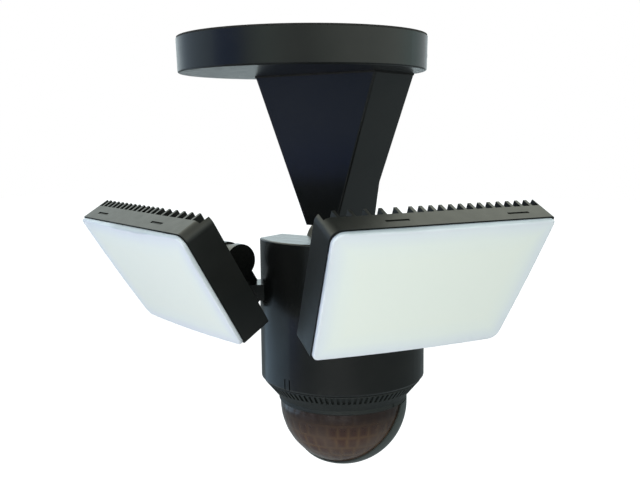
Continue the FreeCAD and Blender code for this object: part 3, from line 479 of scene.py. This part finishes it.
def lens_points(side):
    """The head's outline shrunk to its middle: the front falls back by r*r/2R at a distance r, the last
    LENS_ROUND rolls over a quarter circle to the side wall, and the back closes flat. Also gives the share of
    painted edge shade at each point, 1 less its distance from the outline over the band's width."""
    top, foot = HEAD_HEIGHT / 2, -HEAD_HEIGHT / 2
    corners = [(side_edge(end, z), z) for end, z in ((-1, foot), (1, foot), (1, top), (-1, top))]
    x, z, out_x, out_z = rounded_polygon(corners, LENS_INSET, LENS_CORNERS, LENS_COLUMNS)
    inner_x, inner_z = x - out_x * LENS_ROUND, z - out_z * LENS_ROUND
    front_y = LENS_BACK_Y - LENS_EDGE - LENS_CROWN
    face_x, face_z = inner_x * FACE_SHARES, inner_z * FACE_SHARES
    face_y = front_y + (face_x ** 2 + face_z ** 2) / (2 * LENS_SPHERE)
    edge_y = front_y + (inner_x ** 2 + inner_z ** 2) / (2 * LENS_SPHERE)
    roll = np.linspace(0, math.pi / 2, ROLL_ROWS + 1)[1:, None]
    roll_x = inner_x + out_x * LENS_ROUND * np.sin(roll)
    roll_z = inner_z + out_z * LENS_ROUND * np.sin(roll)
    roll_y = edge_y + LENS_ROUND * (1 - np.cos(roll))
    drop = np.array([0.5, 1.0])[:, None]
    wall_x, wall_z = x + 0 * drop, z + 0 * drop
    wall_y = edge_y + LENS_ROUND + drop * (LENS_BACK_Y - edge_y - LENS_ROUND)
    back_x, back_z = x * BACK_SHARES, z * BACK_SHARES
    back_y = np.full_like(back_x, LENS_BACK_Y)
    all_x = np.vstack([face_x, roll_x, wall_x, back_x])
    all_y = np.vstack([face_y, roll_y, wall_y, back_y])
    all_z = np.vstack([face_z, roll_z, wall_z, back_z])
    beside = np.minimum(side_edge(1, all_z) - all_x, all_x - side_edge(-1, all_z))
    gap = np.minimum(beside, HEAD_HEIGHT / 2 - np.abs(all_z))
    edge_shade = 1.0 - np.clip(gap / EDGE_SHADE_BAND, 0.0, 1.0)
    points = np.stack([side * (all_x + HEAD_OFFSET), all_y, all_z + HEAD_RISE], axis=-1)
    return points[::-1, ::side], edge_shade[::-1, ::side]


# ---- latches of the lenses, in millimetres ----
# Middles of a head's latches, from its inner edge and from its outer one.
LATCH_INNER, LATCH_OUTER = 34.8, 17.8
# Half the length and half the thickness, and how far behind the housing's front the middle lies.
LATCH_HALF, LATCH_HALF_THICK, LATCH_BEHIND = 5.8, 0.5, 5.2
# How far below the head's surface the tongue starts and ends.
LATCH_LOW, LATCH_HIGH = 3.4, 0.35
# Width of the chamfers at the nose and at both ends, height of the nose's one, and the ends' share of the
# thickness.
LATCH_CHAMFER, LATCH_NOSE, LATCH_END_SHARE = 0.25, 0.3, 0.7


def latch_points(x, side, way):
    """Tongue of the lens in its slot: a profile with a chamfered nose, carried along X and thinner at both
    ends, from inside the wall to just below the surface. Way is 1 on the head's top and -1 on its foot."""
    low, high = HEAD_HEIGHT / 2 - LATCH_LOW, HEAD_HEIGHT / 2 - LATCH_HIGH
    thick, narrow = LATCH_HALF_THICK, LATCH_HALF_THICK - LATCH_CHAMFER
    profile_y = np.array([-thick, -thick, -narrow, narrow, thick, thick])
    profile_z = np.array([low, high - LATCH_NOSE, high, high, high - LATCH_NOSE, low])
    body_half = LATCH_HALF - LATCH_CHAMFER
    along = np.array([-LATCH_HALF, -body_half, body_half, LATCH_HALF])[:, None]
    shrink = np.array([LATCH_END_SHARE, 1.0, 1.0, LATCH_END_SHARE])[:, None]
    tongue_x = along + side * (x + HEAD_OFFSET)
    tongue_y = profile_y * shrink + HEAD_FRONT_Y + LATCH_BEHIND
    tongue_z = HEAD_RISE + way * profile_z
    points = np.stack(np.broadcast_arrays(tongue_x, tongue_y, tongue_z), axis=-1)
    return points if way > 0 else points[:, ::-1]


for head, stance in HEADS.items():
    stand = head_matrix(**stance)
    points, edge_shade = lens_points(stance["side"])
    # The lens carries the share of painted edge shade at each point.
    lens = mesh_from_grid(head + "_opal_lens", points, {"edge_shade": edge_shade})
    lens.transform(stand)
    replaced = (head + "_head_lens",)
    add_piece(head + "_opal_lens", lens, FINISHES["lens_white"], head + "_head", replaced)
    for way, label in ((1, "top"), (-1, "foot")):
        edge = way * HEAD_HEIGHT / 2
        middles = {"inner": side_edge(-1, edge) + LATCH_INNER, "outer": side_edge(1, edge) - LATCH_OUTER}
        for end, x in middles.items():
            tongue = mesh_from_grid("tongue", latch_points(x, stance["side"], way))
            tongue.transform(stand)
            name = f"{head}_{end}_{label}_latch"
            add_piece(name, tongue, FINISHES["dark_plastic"], head + "_head")


# ---- faceted dome, in millimetres ----
# The body's axis, and the height of the dome's widest circle.
AXIS_Y, DOME_Z = 36.0, -203.8
DOME_RADIUS, DOME_WALL, DOME_SKIRT = 36.3, 1.4, 3.4
DOME_COLUMNS, DOME_ROWS, INSIDE_ROWS = 456, 130, 24
# Degrees below the widest circle that part the bands of lens cells, and how many cells each band has.
BAND_LATITUDES = np.array([-5.0, 7.0, 19.0, 31.0, 42.0, 54.0, 66.0, 78.0, 90.0])
BAND_CELLS = np.array([38, 38, 34, 28, 24, 18, 12, 6])
# How far a cell swells, how far from its border its colour has turned dark, and the power of that change.
CELL_SWELL, CELL_BORDER, CELL_FADE = 0.10, 1.7, 0.8


def circles(radius, z, turns):
    """Rows of points round the body's axis, from radii and heights that broadcast over the turns."""
    x = radius * np.cos(turns)
    y = radius * np.sin(turns) + AXIS_Y
    return np.stack(np.broadcast_arrays(x, y, z), axis=-1)


def dome_points():
    """Sphere in latitude and turn. Each band of latitude is cut into its own number of lens cells; a cell
    swells by CELL_SWELL times (1-across*across)(1-down*down), both being -1 to 1 over it. Inside is a plain
    sphere, and a straight skirt joins the two above. Also gives how far each point lies from its cell's
    border, 0 on it and 1 from CELL_BORDER inward."""
    turns = np.arange(DOME_COLUMNS) / DOME_COLUMNS * 2 * math.pi
    latitudes = np.radians(np.linspace(0.0, 89.0, DOME_ROWS))
    degrees = np.degrees(latitudes)
    band = np.clip(np.searchsorted(BAND_LATITUDES, degrees, side="right") - 1, 0, len(BAND_CELLS) - 1)
    down = 2 * (degrees - BAND_LATITUDES[band]) / (BAND_LATITUDES[band + 1] - BAND_LATITUDES[band]) - 1
    cells = BAND_CELLS[band]
    phase = turns[None, :] / (2 * math.pi) * cells[:, None] + 0.5 * (band[:, None] % 2)
    across = 2 * (phase % 1.0) - 1
    swell = (1 - across ** 2) * (1 - down[:, None] ** 2)
    radius = DOME_RADIUS - CELL_SWELL + CELL_SWELL * swell
    outside_z = DOME_Z - radius * np.sin(latitudes)[:, None]
    outside = circles(radius * np.cos(latitudes)[:, None], outside_z, turns)
    width = 2 * math.pi * DOME_RADIUS * np.cos(latitudes) / cells
    height = DOME_RADIUS * np.radians(np.diff(BAND_LATITUDES)[band])
    to_side = (1 - np.abs(across)) * width[:, None] / 2
    to_end = (1 - np.abs(down)) * height / 2
    cell = np.clip(np.minimum(to_side, to_end[:, None]) / CELL_BORDER, 0.0, 1.0) ** CELL_FADE
    skirt = circles(DOME_RADIUS, DOME_Z + np.array([DOME_SKIRT, DOME_SKIRT / 2])[:, None], turns)
    inside_latitudes = np.radians(np.concatenate([[0.0], np.linspace(0.0, 88.0, INSIDE_ROWS)]))[:, None]
    lift = np.concatenate([[DOME_SKIRT], np.zeros(INSIDE_ROWS)])[:, None]
    inside_radius = DOME_RADIUS - DOME_WALL
    inside_z = DOME_Z + lift - inside_radius * np.sin(inside_latitudes)
    inside = circles(inside_radius * np.cos(inside_latitudes), inside_z, turns)
    points = np.vstack([inside[::-1], skirt, outside])
    values = np.vstack([np.ones((len(inside) + len(skirt), DOME_COLUMNS)), cell])
    return points[::-1], values[::-1]


points, cell = dome_points()
dome = mesh_from_grid("faceted_dome", points, {"cell": cell})
dome.transform(Matrix.Scale(MM, 4))
add_piece("faceted_dome", dome, FINISHES["dome_brown"], "sensor_turret", ("dome_lens",))


# ---- studio ----
# The walls' light by bearing, in degrees from -Y towards +X: bearing, red, green, blue.
SURROUND = [
    (-180, 0.62, 0.66, 0.68),
    (-145, 1.1, 1.3, 1.35),
    (-120, 1.0, 1.15, 1.2),
    (-92, 0.42, 0.54, 0.66),
    (-62, 0.5, 0.64, 0.78),
    (-50, 0.45, 0.58, 0.74),
    (-43, 0.12, 0.2, 0.5),
    (-22, 0.12, 0.2, 0.46),
    (-12, 0.42, 0.5, 0.52),
    (5, 0.68, 0.82, 0.74),
    (22, 0.6, 0.66, 0.6),
    (37, 0.52, 0.56, 0.52),
    (54, 0.72, 0.8, 0.72),
    (80, 1.04, 1.12, 1.02),
    (125, 1.05, 1.15, 1.05),
    (150, 0.56, 0.74, 0.72),
    (180, 0.55, 0.6, 0.62),
]
# The ceiling's light by the upward part of a direction, 0 level and 1 straight up: up, red, green, blue.
CEILING = [
    (0.30, 1.4, 1.55, 1.55),
    (0.52, 2.25, 2.4, 2.1),
    (0.70, 1.45, 1.5, 1.25),
    (1.0, 1.3, 1.35, 1.15),
]
# Upward parts between which the walls give way to the ceiling.
WALL_TOP, CEILING_START = 0.25, 0.6


def studio_world():
    """White to the camera. For light and reflections a room whose brightness follows the bearing: bright at
    the back left and on the right, a narrow dark screen at the front left, and a ceiling that only the gloss
    of the paint sees."""
    world = bpy.data.worlds.new("studio")
    bpy.context.scene.world = world
    world.use_nodes = True
    world.node_tree.nodes.clear()
    graph = Nodes(world.node_tree)
    direction = graph.split(graph.add("TexCoord").outputs["Generated"])
    bearing = graph.math("ARCTAN2", direction["X"], graph.math("MULTIPLY", direction["Y"], -1.0))
    turn = graph.scaled(bearing, 0.0, 1.0, -math.pi, math.pi)
    walls = graph.ramp(turn, [((angle + 180) / 360, colour) for angle, *colour in SURROUND])
    ceiling = graph.ramp(direction["Z"], [(up, colour) for up, *colour in CEILING])
    upward = graph.scaled(direction["Z"], 0.0, 1.0, WALL_TOP, CEILING_START, "SMOOTHSTEP")
    ray = graph.add("LightPath").outputs
    room = graph.mix(graph.math("MULTIPLY", upward, ray["Is Glossy Ray"]), walls, ceiling)
    light, white, choose = graph.add("Background"), graph.add("Background"), graph.add("MixShader")
    graph.link(room, light.inputs["Color"])
    graph.feed(white.inputs["Color"], (1.0, 1.0, 1.0))
    graph.link(ray["Is Camera Ray"], choose.inputs["Fac"])
    graph.link(light.outputs["Background"], choose.inputs[1])
    graph.link(white.outputs["Background"], choose.inputs[2])
    graph.link(choose.outputs["Shader"], graph.add("OutputWorld").inputs["Surface"])


# Half the side of the floor and its height, the colour that it throws light back with, and its glow, which
# shows to the camera only and on which the object's soft shadow stays faint.
FLOOR_HALF, FLOOR_Z = 6.0, -0.62
FLOOR_COLOUR, FLOOR_GLOW = (0.22, 0.225, 0.23), (0.93, 0.93, 0.93)


def studio_floor():
    """Plain pale floor far below the light, near white to the camera."""
    mesh = bpy.data.meshes.new("floor")
    corners = [(x * FLOOR_HALF, y * FLOOR_HALF, FLOOR_Z) for x, y in ((-1, -1), (1, -1), (1, 1), (-1, 1))]
    mesh.from_pydata(corners, [], [(0, 1, 2, 3)])
    floor = bpy.data.objects.new("floor", mesh)
    bpy.context.scene.collection.objects.link(floor)
    material = bpy.data.materials.new("pale_floor")
    material.use_nodes = True
    graph = Nodes(material.node_tree)
    shader = graph.tree.nodes["Principled BSDF"]
    graph.feed(shader.inputs["Base Color"], FLOOR_COLOUR)
    graph.feed(shader.inputs["Roughness"], 0.9)
    graph.feed(shader.inputs["IOR"], 1.2)
    glow, both = graph.add("Emission"), graph.add("AddShader")
    graph.feed(glow.inputs["Color"], FLOOR_GLOW)
    graph.link(graph.add("LightPath").outputs["Is Camera Ray"], glow.inputs["Strength"])
    graph.link(shader.outputs["BSDF"], both.inputs[0])
    graph.link(glow.outputs["Emission"], both.inputs[1])
    graph.link(both.outputs["Shader"], graph.tree.nodes["Material Output"].inputs["Surface"])
    mesh.materials.append(material)


# All lamps face the middle of the object from the same distance, in metres.
LAMP_TARGET, LAMP_DISTANCE = Vector((0.0, 0.0, -0.12)), 1.2


def softbox(name, bearing, rise, size, power, colour, mirrored=False):
    """An area lamp at a bearing and a rise in degrees, with its width and height in metres and its power in
    watts. Only a mirrored one shows in the gloss of the paint, and none shows to the camera."""
    turn, up = math.radians(bearing), math.radians(rise)
    away = Vector((math.sin(turn) * math.cos(up), -math.cos(turn) * math.cos(up), math.sin(up)))
    data = bpy.data.lights.new(name, "AREA")
    data.shape = "RECTANGLE"
    data.size, data.size_y = size
    data.energy = power
    data.color = colour
    light = bpy.data.objects.new(name, data)
    bpy.context.scene.collection.objects.link(light)
    light.location = LAMP_TARGET + away * LAMP_DISTANCE
    light.rotation_euler = (-away).to_track_quat("-Z", "Y").to_euler()
    light.visible_glossy = mirrored
    light.visible_camera = False


# The camera as fitted to the photo: place in metres, turn in radians, focal length and width in pixels.
CAMERA_PLACE = (0.264149, -0.367132, -0.045799)
CAMERA_TURN = (1.437896, 0.011263, 0.604043)
FOCAL_PIXELS, PHOTO_PIXELS, SENSOR_WIDTH = 850.0, 640.0, 36.0


def studio_camera():
    """The photo's own view of the object."""
    data = bpy.data.cameras.new("camera")
    data.sensor_width = SENSOR_WIDTH
    data.lens = FOCAL_PIXELS / PHOTO_PIXELS * SENSOR_WIDTH
    data.clip_start, data.clip_end = 0.01, 50.0
    camera = bpy.data.objects.new("camera", data)
    bpy.context.scene.collection.objects.link(camera)
    camera.location = CAMERA_PLACE
    camera.rotation_euler = CAMERA_TURN
    bpy.context.scene.camera = camera


studio_world()
studio_floor()
softbox("front_low", 25.0, -22.0, (1.0, 0.5), 15.3, (1.0, 0.975, 0.96))
softbox("left_low", -35.0, -24.0, (0.6, 0.4), 6.6, (1.0, 0.945, 1.0))
softbox("left_panel", -75.0, -22.0, (1.35, 0.34), 0.9, (0.6, 0.9, 1.2), mirrored=True)
softbox("blue_panel", -36.0, -10.0, (0.35, 0.25), 0.10, (0.06, 0.2, 1.2), mirrored=True)
softbox("over_left", -115.0, 38.0, (0.8, 0.8), 6.0, (0.97, 1.0, 0.98))
studio_camera()
bpy.context.scene.view_settings.view_transform = "Standard"
